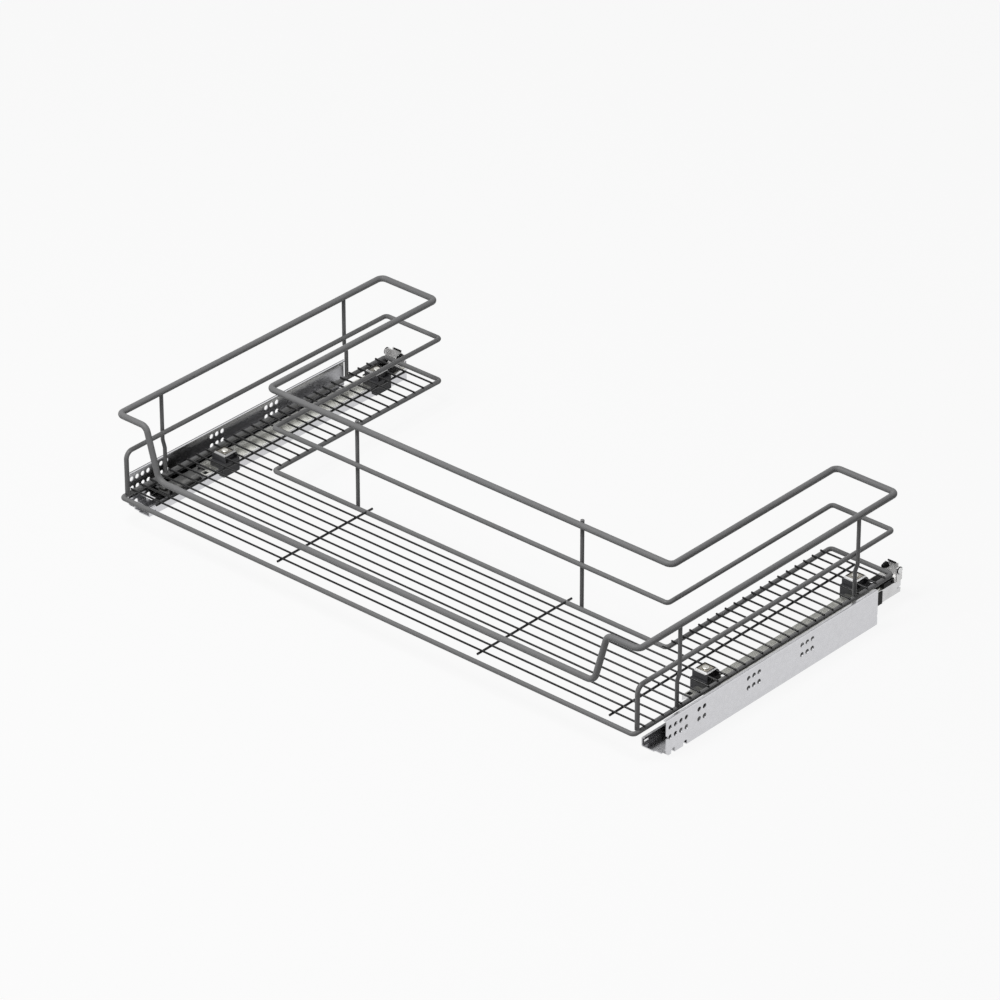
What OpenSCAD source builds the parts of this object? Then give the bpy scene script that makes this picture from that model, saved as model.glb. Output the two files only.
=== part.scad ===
// Under-sink pull-out drawer: a U-shaped wire basket with a cut-out for the
// waste pipe, clamped on a pair of full-extension roller slides.
// X runs across the cabinet, Y into its depth and Z up. The basket is pulled
// out along -Y. The origin is under the middle of the whole part.

/* [Basket outline] */
// Distance of the base frame's side wires inside the slides' outer faces
base_inset = 22.5; // [22:0.1:24]
// Depth between the centres of the base frame's front and rear wires
base_d = 477; // [400:1:560]
// Width of each arm beside the sink cut-out, between its base wires
arm_w = 93.9; // [90:0.1:110]
// Distance from the front wire to the wire across the cut-out
cutout_y = 170.6; // [120:0.1:260]
// How far the middle rail stands inside the base frame at each side
mid_inset = 1.8; // [0:0.1:2.4]
// How far the top rail stands outside the base frame at each side
top_outset = 3.4; // [2.6:0.1:4.4]
// How far the top rail's cut-out is wider than the base's, at each side
top_cutout_outset = 5.4; // [0:0.1:12]

/* [Basket heights] */
// Height of the middle rail's centre above the base frame's centre
mid_z = 60.3; // [54:0.1:72]
// Height of the top rail's centre above the base frame's centre
top_z = 114.1; // [95:0.1:140]
// Height of the lowered run of the top rail across the front
low_z = 45; // [30:0.1:52]
// How far the posts round the cut-out rise above the top rail's centre
post_rise = 4.4; // [0:0.1:8]

/* [Basket wires] */
// Diameter of the top rail's wire
top_wire = 8; // [7:0.1:9]
// Diameter of the middle rail's wire
mid_wire = 6; // [5:0.1:7]
// Diameter of the base frame's wire
base_wire = 6; // [5:0.1:7]
// Diameter of the upright posts
post_wire = 5; // [4:0.1:6]
// Diameter of the floor wires
floor_wire = 2.5; // [2:0.1:3]
// Diameter of the wires that run under the floor wires
support_wire = 3; // [2.5:0.1:3.6]
// Depth that welded wires sink into each other
weld = 0.1; // [0.05:0.01:0.3]
// Spacing of the floor wires
floor_pitch = 16.36; // [14:0.01:20]
// Distance from the front wire to the first floor wire
floor_first = 17.87; // [12:0.01:24]
// How far the floor wires reach past the centres of the wires they lie on
floor_overhang = 1.8; // [0:0.1:2.8]

/* [Basket bends] */
// Bend radius of the top rail's corners
top_bend = 8; // [6:0.5:20]
// Bend radius where the top rail's front stubs turn down
stub_bend = 10; // [8:0.5:14]
// Bend radius where the top rail meets its lowered front run
low_bend = 14; // [10:0.5:24]
// Bend radius of the corners of the middle rail and the base frame
frame_bend = 5; // [4.5:0.5:12]
// Bend radius where the middle rail turns down into its front legs
leg_bend = 10; // [6:0.5:16]
// Bend radius of the side posts' kinks
kink_bend = 5; // [4:0.5:8]
// Length of the top rail's front stub, from the side's centre line
stub_len = 46.4; // [36:0.1:60]
// Slant of the top rail's front: sideways run over its height
slant_run = 19.4; // [0:0.1:40]
// Distance of the top rail's stubs behind the base frame's front wire
stub_y = 3; // [0:0.1:8]
// Distance of the middle rail's front legs behind the front wire
leg_y = 8.2; // [7:0.1:12]

/* [Basket posts] */
// Distance from the front wire to the front side posts
post_front_y = 76.5; // [60:0.1:100]
// Distance of the rear side posts before the rear wire
post_rear_inset = 73; // [60:0.1:120]
// Height where the side posts leave the vertical above their kink
kink_top_z = 48; // [42:0.1:52]
// Height where the side posts are vertical again below their kink
kink_low_z = 37.5; // [24:0.1:40]
// Distance of the posts round the cut-out from the middle
back_post_x = 179.5; // [60:0.1:280]
// Distance of the inner support wires from the middle
support_inner_x = 160; // [60:0.1:280]
// Distance of the outer support wires inside the base frame's side wires
support_inset = 46.5; // [44:0.1:56]

/* [Slides] */
// Clear width between the cabinet's side panels
cabinet_w = 864; // [764:1:1164]
// Gap between each side panel and its cabinet rail
panel_gap = 0.5; // [0:0.1:1]
// Thickness of the slides' steel sheet
sheet = 1.5; // [1.2:0.1:1.6]
// Inner bend radius of the folded sheet
fold = 0.6; // [0.3:0.1:0.8]
// Depth of the cabinet rails' underside below the base frame's centre
rail_drop = 36.5; // [36:0.1:38]
// Height of the cabinet rails' wall above the base frame's centre
wall_top = 12; // [9:0.1:16]
// Width of the cabinet rails' floor
floor_w = 37.5; // [37:0.1:39]
// Width of the flange at the top of the wall
top_flange = 5; // [4:0.1:6]
// Height of the cabinet rails' inner lip
lip_h = 13; // [12.6:0.1:13.4]
// Width of the flange at the top of the inner lip
lip_flange = 4.5; // [4:0.1:4.8]
// Distance from the front wire to the cabinet rails' front end
rail_front_y = 32; // [20:0.1:36]
// How far the wall ends before the base frame's rear wire
wall_short = 56; // [50:0.1:90]
// How far the cabinet rails reach behind the drawer rails
rail_tail = 9; // [8:0.1:20]
// Distance from the front wire to the middle slides' front end
mid_slide_front_y = 80; // [60:0.1:100]
// How far the middle slides end before the base frame's rear wire
mid_slide_short = 52; // [50:0.1:80]
// Distance from the front wire to the drawer rails' front end
drawer_front_y = 118; // [104:0.1:124]
// How far the drawer rails reach behind the base frame's rear wire
drawer_overhang = 14; // [12:0.1:18]
// Depth of the drawer rails' top below the base frame's centre
drawer_drop = 11; // [10.8:0.1:11.4]
// Full travel of the basket
travel = 440; // [300:1:440]

/* [Fixing holes] */
// Diameter of the holes in the cabinet rails' wall
hole_d = 6.4; // [4:0.1:7]
// Spacing of neighbouring holes along the rail
hole_pitch = 9.6; // [9:0.1:12]
// Spacing of the two rows of holes
hole_row_pitch = 13; // [10:0.1:15]
// Height of the upper row above the base frame's centre
hole_row_z = 1.6; // [-2:0.1:4]

/* [Rollers] */
// Diameter of the lower rollers
lower_roller_d = 3.8; // [3.4:0.05:3.9]
// Diameter of the upper rollers
upper_roller_d = 3.8; // [3.4:0.05:3.9]
// Thickness of the cages that hold the rollers
cage_t = 2.2; // [1.6:0.1:2.6]
// Spacing of the rollers along a cage
roller_pitch = 24; // [16:0.5:40]
// Clearance round a roller in its pocket
pocket_gap = 0.25; // [0.15:0.05:0.5]

/* [Wire clamps] */
// Width of a holder block across the drawer
block_w = 23; // [20:0.1:24]
// Length of a holder block along the drawer
block_l = 28; // [24:0.1:30]
// Depth that a holder block's skirt hangs below its top
block_h = 18; // [14:0.1:20]
// Distance from a slide's outer face to the middle of a clamp
clamp_inset = 46; // [45:0.1:47]
// Width of the steel clamp plate
plate_w = 19; // [16:0.1:20]
// Length of the steel clamp plate
plate_l = 21; // [20:0.1:23]
// Thickness of the steel clamp plate
plate_t = 1.5; // [1:0.1:2]
// Clearance between seated pieces
seat = 0.05; // [0.02:0.01:0.1]
// Width of the sunk square in the clamp plate
sunk_w = 10.4; // [9:0.1:14]
// Diameter of the clamp screws
screw_d = 3.2; // [2.5:0.1:4]
// Length of the clamp screws below their heads
screw_l = 12.5; // [10:0.1:13]

/* [Rear stops] */
// Diameter of the rubber bumper behind the rear wire
bumper_d = 8.4; // [6:0.1:9]
// Height of the rear stop plate above the base frame's centre
stop_top_z = 9.4; // [8:0.1:11]
// Height where the rear stop plate steps in to its narrower top
stop_step_z = 5.4; // [5:0.1:7]
// Width of the rear stop plate's narrower top
stop_top_w = 14.4; // [12:0.1:16]
// Diameter of the round cap on the stop's side ear
cap_d = 10.8; // [8:0.1:12]

/* [Hidden] */
$fn = 48;

WIRE = "#5c5c5e";
WIRE_DARK = "#232324";
STEEL = "#c9cbcf";
PLASTIC = "#2f3033";
RUBBER = "#141414";
CAGE = "#8d9094";

// What stands behind the rear wire keeps its distance to it.
drawer_end_y = base_d + drawer_overhang;
rail_end_y = drawer_end_y + rail_tail;
wall_end_y = base_d - wall_short;
mid_slide_end_y = base_d - mid_slide_short;
post_rear_y = base_d - post_rear_inset;

// The part's box starts at the front wire and ends at the cabinet rails.
origin_y = (rail_end_y - base_wire / 2) / 2;
cut = 0.5;
// A bend is a trace thicker than the straight wire and laps over its ends.
bend_swell = 0.06;
bend_lap = 0.2;

// Each slide is drawn on the right, measured inwards from its outer face, and
// carries an arm of the basket.
face_x = cabinet_w / 2 - panel_gap;
base_x = face_x - base_inset;
mid_x = base_x - mid_inset;
top_x = base_x + top_outset;
cut_x = base_x - arm_w;
support_outer_x = base_x - support_inset;
cut_top_x = cut_x + top_cutout_outset;
leg_seat_z = base_wire / 2 - 8 * weld;
floor_z = base_wire / 2 + floor_wire / 2 - 2 * weld;
support_z = floor_z - floor_wire / 2 - support_wire / 2 + weld;
floor_count = floor((base_d - floor_first - floor_pitch / 2) / floor_pitch) + 1;
full_rows = ceil((cutout_y - base_wire - floor_first) / floor_pitch);

half = sheet / 2;
rail_floor_z = -rail_drop + half;
lip_x = face_x - floor_w + half;
lip_top_z = -rail_drop + lip_h - half;
wall_x = face_x - half;

// Stack of the slide's members from the cabinet rail's floor upwards.
roller_gap = 0.15;
tray_z = -rail_drop + sheet + lower_roller_d + 2 * roller_gap + half;
drawer_z = -drawer_drop - half;
crown_z = -drawer_drop - sheet - upper_roller_d - 2 * roller_gap - half;
side_gap = 1;
tray_in_x = lip_x + half + side_gap + half;
tray_out_x = face_x - sheet - 4 - half;
tray_edge_z = lip_top_z - half - 0.6;
crown_in_x = face_x - 30.75;
crown_out_x = crown_in_x + 7;
drawer_out_x = face_x - 20.75;
drawer_in_x = face_x - 48.25;
drawer_foot_z = tray_z + half + 0.9 + half;
hook_z = drawer_foot_z + half + 0.8 + half;
hook_x = tray_out_x - 9.75;

clamp_x = face_x - clamp_inset;
clamp_rows = [full_rows - 0.5, floor_count - 2.5];
function clamp_y(row) = floor_first + row * floor_pitch;
block_top_z = -2.5;
clamp_seat_z = floor_z - floor_wire / 2;
plate_z = floor_z + floor_wire / 2;

stop_y = drawer_end_y - half - 0.5;
bumper_z = 2.9;
bumper_x = face_x - 38.2;
ear_x = face_x - 18.75;
cap_y = stop_y - 5.2;
cap_z = 4.2;

// Geometry helpers.
function unit(v) = v / norm(v);
function turn(a, b, c) = acos(max(-1, min(1, unit(b - a) * unit(c - b))));
function trim(a, b, c, r) = r * tan(turn(a, b, c) / 2);
function side_of(u) = abs(u.z) > 0.99 ? [1, 0, 0] : unit(cross(u, [0, 0, 1]));
function left_of(u) = [-u.y, u.x];
function turned(v, a) = [v.x * cos(a) - v.y * sin(a), v.x * sin(a) + v.y * cos(a)];
function reverse(list) = [for (i = [len(list) - 1 : -1 : 0]) list[i]];

// One side of a fold: an arc about the fold's centre, off the middle line.
function fold_edge(a, b, c, r, off, steps = 4) =
  let(
    u = unit(b - a),
    v = unit(c - b),
    hand = sign(u.x * v.y - u.y * v.x),
    start = b - u * trim(a, b, c, r),
    centre = start + hand * r * left_of(u)
  )
  [for (k = [0 : steps])
    centre + turned(start - centre, hand * turn(a, b, c) * k / steps) * (r - hand * off) / r];

function edge(path, r, off) =
  let(n = len(path))
  concat(
    [path[0] + off * left_of(unit(path[1] - path[0]))],
    [for (i = [1 : n - 2]) each fold_edge(path[i - 1], path[i], path[i + 1], r, off)],
    [path[n - 1] + off * left_of(unit(path[n - 1] - path[n - 2]))]
  );

module on_axes(ex, ey, ez, p) {
  multmatrix([
    [ex.x, ey.x, ez.x, p.x],
    [ex.y, ey.y, ez.y, p.y],
    [ex.z, ey.z, ez.z, p.z],
    [0, 0, 0, 1]
  ]) children();
}

// A round wire along a path, with a true bend of its own radius at each corner.
module bent_wire(path, radii, d, closed = false) {
  n = len(path);
  for (i = [0 : closed ? n - 1 : n - 2]) {
    a = path[i];
    b = path[(i + 1) % n];
    u = unit(b - a);
    from = closed || i > 0 ? trim(path[(i + n - 1) % n], a, b, radii[i]) : 0;
    to = closed || i < n - 2 ? trim(a, b, path[(i + 2) % n], radii[(i + 1) % n]) : 0;
    start = from > 0 ? from - bend_lap : 0;
    end = to > 0 ? to - bend_lap : 0;
    on_axes(side_of(u), cross(u, side_of(u)), u, a + start * u)
      cylinder(d = d, h = norm(b - a) - start - end);
  }
  for (i = [(closed ? 0 : 1) : (closed ? n - 1 : n - 2)])
    wire_bend(path[(i + n - 1) % n], path[i], path[(i + 1) % n], radii[i], d);
}

module wire_bend(a, b, c, r, d) {
  u = unit(b - a);
  v = unit(c - b);
  centre = b + unit(v - u) * r / cos(turn(a, b, c) / 2);
  start = (b - u * trim(a, b, c, r) - centre) / r;
  on_axes(start, u, cross(start, u), centre)
    rotate_extrude(angle = turn(a, b, c)) translate([r, 0]) circle(d = d + bend_swell);
}

// A strip of sheet steel, seen on edge, folded along a path of its middle line.
module folded(path, t = sheet, inner = fold) {
  r = inner + t / 2;
  polygon(concat(edge(path, r, t / 2), reverse(edge(path, r, -t / 2))));
}

// Extrudes a section drawn in X and Z between two distances from the front.
module along_y(from, to) {
  translate([0, to, 0]) rotate([90, 0, 0]) linear_extrude(to - from) children();
}

module at_origin() {
  translate([0, -origin_y, rail_drop]) children();
}

module on_left() {
  mirror([1, 0, 0]) children();
}

module both_sides() {
  children();
  on_left() children();
}

// Basket: rails and frame.
module top_rail() {
  low_x = top_x - stub_len - slant_run;
  radii = [
    top_bend, top_bend, top_bend, top_bend, top_bend, top_bend,
    top_bend, stub_bend, low_bend, low_bend, stub_bend, top_bend
  ];
  path = [
    [top_x, base_d - 1.9, top_z],
    [cut_top_x, base_d - 1.9, top_z],
    [cut_top_x, cutout_y, top_z],
    [-cut_top_x, cutout_y, top_z],
    [-cut_top_x, base_d - 1.9, top_z],
    [-top_x, base_d - 1.9, top_z],
    [-top_x, stub_y, top_z],
    [-top_x + stub_len, stub_y, top_z],
    [-low_x, stub_y, low_z],
    [low_x, stub_y, low_z],
    [top_x - stub_len, stub_y, top_z],
    [top_x, stub_y, top_z]
  ];
  color(WIRE) at_origin() bent_wire(path, radii, top_wire, closed = true);
}

module middle_rail() {
  path = [
    [mid_x, leg_y, leg_seat_z],
    [mid_x, leg_y, mid_z],
    [mid_x, base_d, mid_z],
    [cut_x, base_d, mid_z],
    [cut_x, cutout_y + 0.6, mid_z],
    [-cut_x, cutout_y + 0.6, mid_z],
    [-cut_x, base_d, mid_z],
    [-mid_x, base_d, mid_z],
    [-mid_x, leg_y, mid_z],
    [-mid_x, leg_y, leg_seat_z]
  ];
  corners = [for (i = [2 : len(path) - 3]) frame_bend];
  radii = concat([0, leg_bend], corners, [leg_bend, 0]);
  color(WIRE) at_origin() bent_wire(path, radii, mid_wire);
}

module base_frame() {
  path = [
    [base_x, 0, 0],
    [base_x, base_d, 0],
    [cut_x, base_d, 0],
    [cut_x, cutout_y, 0],
    [-cut_x, cutout_y, 0],
    [-cut_x, base_d, 0],
    [-base_x, base_d, 0],
    [-base_x, 0, 0]
  ];
  radii = [for (p = path) frame_bend];
  color(WIRE) at_origin() bent_wire(path, radii, base_wire, closed = true);
}

// Basket: posts. The side posts stand outside the middle rail and kink in
// below it, to land on the base frame.
module side_post(y) {
  out_x = mid_x + (mid_wire + post_wire) / 2 - 3 * weld;
  path = [
    [out_x, y, top_z - top_wire / 2 + 6 * weld],
    [out_x, y, kink_top_z],
    [base_x, y, kink_low_z],
    [base_x, y, leg_seat_z]
  ];
  bent_wire(path, [0, kink_bend, kink_bend, 0], post_wire);
}

module side_posts() {
  color(WIRE) at_origin() both_sides() {
    side_post(post_front_y);
    side_post(post_rear_y);
  }
}

module cutout_posts() {
  y = cutout_y + (base_wire + post_wire) / 2 - weld;
  foot_z = -base_wire / 3;
  color(WIRE) at_origin() both_sides()
    translate([back_post_x, y, foot_z])
      cylinder(d = post_wire, h = top_z + post_rise - foot_z);
}

// Basket: floor.
module floor_row(row, from, to) {
  translate([from, floor_first + row * floor_pitch, floor_z]) rotate([0, 90, 0])
    cylinder(d = floor_wire, h = to - from, $fn = 24);
}

module floor_wires_front() {
  end_x = base_x + floor_overhang;
  color(WIRE_DARK) at_origin()
    for (row = [0 : full_rows - 1]) floor_row(row, -end_x, end_x);
}

module floor_arm() {
  for (row = [full_rows : floor_count - 1])
    floor_row(row, cut_x - floor_overhang, base_x + floor_overhang);
}

module floor_wires_left() {
  color(WIRE_DARK) at_origin() on_left() floor_arm();
}

module floor_wires_right() {
  color(WIRE_DARK) at_origin() floor_arm();
}

module support(x, end_y) {
  start_y = floor_first - 5.9;
  translate([x, start_y, support_z]) rotate([-90, 0, 0])
    cylinder(d = support_wire, h = end_y - start_y, $fn = 24);
}

module support_wires() {
  last_y = floor_first + (floor_count - 1) * floor_pitch;
  color(WIRE_DARK) at_origin() both_sides() {
    support(support_inner_x, cutout_y + 9.9);
    support(support_outer_x, last_y + 4.4);
  }
}

// Slides: the rails that carry the basket.
module drawer_rail() {
  plate = [
    [drawer_in_x, drawer_z - 1.85],
    [drawer_in_x, drawer_z],
    [drawer_out_x, drawer_z],
    [drawer_out_x, drawer_foot_z - half]
  ];
  hooked = [
    [drawer_in_x, drawer_z - 1.85],
    [drawer_in_x, drawer_z],
    [drawer_out_x, drawer_z],
    [drawer_out_x, drawer_foot_z],
    [drawer_out_x + 9, drawer_foot_z]
  ];
  tongue_y = drawer_front_y + 15;
  tongue_x = drawer_in_x + 10.25;
  lip_end_y = wall_end_y - 4;
  difference() {
    union() {
      along_y(drawer_front_y, lip_end_y) folded(hooked);
      along_y(lip_end_y, drawer_end_y) folded(plate);
      front_gusset();
    }
    translate([tongue_x, drawer_front_y - cut, -rail_drop])
      cube([30, tongue_y - drawer_front_y + cut, rail_drop]);
    translate([drawer_in_x + 2.2, drawer_front_y + 3.6, -drawer_drop - 4])
      cube([6, 6.8, 8]);
    for (y = [clamp_y(full_rows + 1), clamp_y(floor_count - 1) + 1])
      translate([clamp_x + 6, y, -drawer_drop - 4]) cylinder(d = 6.6, h = 8);
    translate([drawer_out_x - 2, drawer_end_y - 6, -drawer_drop - 11.6]) cube([4, 8, 2]);
  }
}

// Triangular stiffener under the front tongue of a drawer rail.
module front_gusset() {
  along_y(drawer_front_y, drawer_front_y + sheet)
    polygon([
      [drawer_in_x - half, -drawer_drop - sheet],
      [drawer_in_x + 9, -drawer_drop - sheet],
      [drawer_in_x - half, -drawer_drop - 9]
    ]);
}

module drawer_rail_left() {
  color(STEEL) at_origin() on_left() drawer_rail();
}

module drawer_rail_right() {
  color(STEEL) at_origin() drawer_rail();
}

// Moulded block that sits on a drawer rail and takes two floor wires.
module holder_block(y) {
  in_x = clamp_x - block_w / 2;
  skirt_w = drawer_in_x - half - 0.25 - in_x;
  foot_z = -drawer_drop + seat;
  pillar_l = floor_pitch - floor_wire - 2;
  difference() {
    union() {
      translate([in_x, y - block_l / 2, foot_z])
        cube([block_w, block_l, block_top_z - foot_z]);
      translate([in_x, y - block_l / 2, block_top_z - block_h])
        cube([skirt_w, block_l, block_h]);
      translate([clamp_x - 7.5, y - 11, block_top_z - cut])
        cube([15, 22, clamp_seat_z - seat - block_top_z + cut]);
      translate([clamp_x - 6, y - pillar_l / 2, clamp_seat_z - cut])
        cube([12, pillar_l, plate_z - clamp_seat_z + cut]);
    }
    translate([clamp_x, y, foot_z + 2]) cylinder(d = screw_d - 0.2, h = plate_z - foot_z);
    for (side = [-1, 1]) translate([in_x + 2, y + side * 7 - 4, block_top_z - block_h + 2])
      cube([skirt_w + block_w, 8, block_h - 9.5 - 2]);
  }
}

module holder_blocks() {
  color(PLASTIC) at_origin() both_sides()
    for (row = clamp_rows) holder_block(clamp_y(row));
}

// Square steel plate with a sunk middle, pressed on the wires by its screw.
module clamp_plates() {
  color(STEEL) at_origin() both_sides() for (row = clamp_rows)
    translate([clamp_x, clamp_y(row), plate_z + seat]) difference() {
      translate([-plate_w / 2, -plate_l / 2, 0]) cube([plate_w, plate_l, plate_t]);
      translate([-sunk_w / 2, -sunk_w / 2, plate_t - 0.6]) cube([sunk_w, sunk_w, 1]);
      translate([0, 0, -cut]) cylinder(d = screw_d + 1.2, h = plate_t + 1);
    }
}

module clamp_screws() {
  color(STEEL) at_origin() both_sides() for (row = clamp_rows)
    translate([clamp_x, clamp_y(row), plate_z + seat + plate_t - 0.6]) difference() {
      union() {
        cylinder(d1 = 7.6, d2 = 6.4, h = 1.6);
        translate([0, 0, -screw_l]) cylinder(d = screw_d, h = screw_l + 0.5);
      }
      for (a = [0, 90]) rotate(a) translate([-2, -0.4, 0.8]) cube([4, 0.8, 2]);
    }
}

// Dark guide shoe clipped on the outside of a drawer rail, near its rear end.
module guide_shoes() {
  foot_z = drawer_foot_z - half + 0.2;
  color(PLASTIC) at_origin() both_sides()
    translate([drawer_out_x + half, wall_end_y + 17, foot_z])
      cube([1.6, 16, -drawer_drop - foot_z]);
}

// Moulded latch on top of a drawer rail, under the basket's side wire.
module rear_latches() {
  color(PLASTIC) at_origin() both_sides() difference() {
    translate([drawer_out_x - 5.2, drawer_end_y - 33, -drawer_drop + seat])
      cube([6, 19.5, 7]);
    translate([drawer_out_x - 6, drawer_end_y - 18, -drawer_drop + 3.8])
      rotate([0, 90, 0]) cylinder(d = 3.6, h = 8);
  }
}

// Rear stop: a folded steel plate that stands on the drawer rail behind the
// basket's rear wire, with a bumper in front of it and an ear at its side.
module rear_stop_plate() {
  foot_y = drawer_end_y - 13;
  in_x = bumper_x - 5.5;
  stand = [
    [foot_y, -drawer_drop + half + seat],
    [stop_y, -drawer_drop + half + seat],
    [stop_y, stop_top_z]
  ];
  translate([ear_x + half, 0, 0]) rotate([90, 0, -90]) mirror([1, 0, 0])
    linear_extrude(ear_x + half - in_x) folded(stand);
  difference() {
    translate([ear_x - half, cap_y - 4.4, -drawer_drop + seat + 0.6])
      cube([sheet, stop_y - cap_y + 4.4, cap_z + 3 + drawer_drop]);
    translate([ear_x - 2, cap_y, cap_z]) rotate([0, 90, 0]) cylinder(d = 4, h = 4);
  }
}

module rear_stop_plates() {
  color(STEEL) at_origin() both_sides() difference() {
    rear_stop_plate();
    translate([bumper_x, stop_y - 3, bumper_z]) rotate([-90, 0, 0])
      cylinder(d = 4, h = 6);
    for (x = [bumper_x - 8, bumper_x + 0.2 + stop_top_w])
      translate([x, stop_y - 2, stop_step_z]) cube([8.2, 4, stop_top_z]);
  }
}

module stop_edge_strips() {
  color(RUBBER) at_origin() both_sides() difference() {
    translate([bumper_x + 1.4, stop_y - 1.3, stop_top_z - 1]) cube([12, 2.6, 2.4]);
    translate([bumper_x + 1.4 - cut, stop_y - half - seat, stop_top_z - 2])
      cube([13, sheet + 2 * seat, 2 + seat]);
  }
}

module rear_bumpers() {
  front_y = base_d + base_wire / 2 + seat;
  color(RUBBER) at_origin() both_sides() translate([bumper_x, front_y, bumper_z])
    rotate([-90, 0, 0]) {
      cylinder(d1 = bumper_d - 2, d2 = bumper_d, h = 1.5);
      translate([0, 0, 1.5]) cylinder(d = bumper_d, h = stop_y - half - seat - front_y - 1.5);
      cylinder(d = 3.8, h = stop_y + 2.4 - front_y);
    }
}

module stop_ear_caps() {
  color(STEEL) at_origin() both_sides() translate([ear_x + half + seat, cap_y, cap_z])
    rotate([0, 90, 0]) {
      difference() {
        cylinder(d = cap_d, h = 2.6);
        translate([0, 0, 1.2]) cylinder(d = cap_d - 3.2, h = 2);
      }
      translate([0, 0, -4]) cylinder(d = 3.8, h = 6);
    }
}

// Slides: the member between cabinet rail and drawer rail. Its crown carries
// the upper rollers and its outer edge hooks over the drawer rail's foot.
module middle_slide() {
  section = [
    [tray_in_x, tray_edge_z],
    [tray_in_x, tray_z],
    [crown_in_x, tray_z],
    [crown_in_x, crown_z],
    [crown_out_x, crown_z],
    [crown_out_x, tray_z],
    [tray_out_x, tray_z],
    [tray_out_x, hook_z],
    [hook_x, hook_z]
  ];
  along_y(mid_slide_front_y, mid_slide_end_y) folded(section);
}

module middle_slide_left() {
  color(STEEL) at_origin() on_left() middle_slide();
}

module middle_slide_right() {
  color(STEEL) at_origin() middle_slide();
}

// Roller cages: a strip with a pocket for each roller. A cage trails between
// its two members, so it spans only what they still share when pulled out.
lower_z = (tray_z - half - rail_drop + sheet) / 2;
upper_z = (drawer_z - half + crown_z + half) / 2;
lower_from = rail_front_y + travel / 4 + 2;
lower_to = mid_slide_end_y - travel / 4 - 2;
upper_from = mid_slide_front_y + travel / 4 + 2;
upper_to = drawer_end_y - travel / 4 - 2;
lower_roller_x = crown_out_x + 3.5;
lower_roller_l = tray_out_x - half - lower_roller_x - 3;
upper_roller_l = crown_out_x - crown_in_x - 1;

function roller_rows(from, to) = [for (y = [from + 9 : roller_pitch : to - 8]) y];

module cage(x, z, l, d, from, to) {
  margin = pocket_gap + 1.4;
  difference() {
    translate([x - margin, from, z - cage_t / 2]) cube([l + 2 * margin, to - from, cage_t]);
    for (y = roller_rows(from, to))
      translate([x - pocket_gap, y - d / 2 - pocket_gap, z - cage_t])
        cube([l + 2 * pocket_gap, d + 2 * pocket_gap, 2 * cage_t]);
  }
}

module rollers(x, z, l, d, from, to) {
  for (y = roller_rows(from, to))
    translate([x, y, z]) rotate([0, 90, 0]) cylinder(d = d, h = l, $fn = 24);
}

module lower_cage() {
  cage(lower_roller_x, lower_z, lower_roller_l, lower_roller_d, lower_from, lower_to);
}

module upper_cage() {
  guide_x = (crown_out_x + drawer_out_x) / 2;
  cage(crown_in_x + 0.5, upper_z, upper_roller_l, upper_roller_d, upper_from, upper_to);
  translate([guide_x - 0.5, upper_from, crown_z - 7])
    cube([1, upper_to - upper_from, upper_z + cage_t / 2 - crown_z + 7]);
}

module lower_rollers() {
  rollers(lower_roller_x, lower_z, lower_roller_l, lower_roller_d, lower_from, lower_to);
}

module upper_rollers() {
  rollers(crown_in_x + 0.5, upper_z, upper_roller_l, upper_roller_d, upper_from, upper_to);
}

module lower_cage_left() {
  color(CAGE) at_origin() on_left() lower_cage();
}

module lower_cage_right() {
  color(CAGE) at_origin() lower_cage();
}

module lower_rollers_left() {
  color(STEEL) at_origin() on_left() lower_rollers();
}

module lower_rollers_right() {
  color(STEEL) at_origin() lower_rollers();
}

module upper_cage_left() {
  color(CAGE) at_origin() on_left() upper_cage();
}

module upper_cage_right() {
  color(CAGE) at_origin() upper_cage();
}

module upper_rollers_left() {
  color(STEEL) at_origin() on_left() upper_rollers();
}

module upper_rollers_right() {
  color(STEEL) at_origin() upper_rollers();
}

// Slides: the rail that is screwed to the cabinet's side panel.
module cabinet_rail() {
  groove_z = -23.5;
  wall = [
    [face_x - top_flange, wall_top - half],
    [wall_x, wall_top - half],
    [wall_x, groove_z + 3],
    [wall_x - 0.7, groove_z],
    [wall_x, groove_z - 3],
    [wall_x, rail_floor_z],
    [lip_x, rail_floor_z],
    [lip_x, lip_top_z],
    [lip_x - half + lip_flange, lip_top_z]
  ];
  tail = [
    [lip_x + 7.25, rail_floor_z],
    [lip_x, rail_floor_z],
    [lip_x, lip_top_z],
    [lip_x - half + lip_flange, lip_top_z]
  ];
  difference() {
    union() {
      along_y(rail_front_y, wall_end_y) folded(wall);
      along_y(wall_end_y, rail_end_y) folded(tail);
      translate([lip_x - half, rail_end_y - sheet, -rail_drop])
        cube([8, sheet, rail_drop - drawer_drop + 1.5]);
    }
    wall_holes();
    rail_nose();
  }
}

// Fixing holes in two rows: groups of a few holes, each at the same pitch.
module wall_holes() {
  groups = [[38.4, 4], [90, 2], [179.5, 3], [278, 3]];
  for (group = groups, i = [0 : group[1] - 1], row = [0, 1])
    translate([wall_x - 3, group[0] + i * hole_pitch, hole_row_z - row * hole_row_pitch])
      rotate([0, 90, 0]) cylinder(d = hole_d, h = 6);
}

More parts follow.
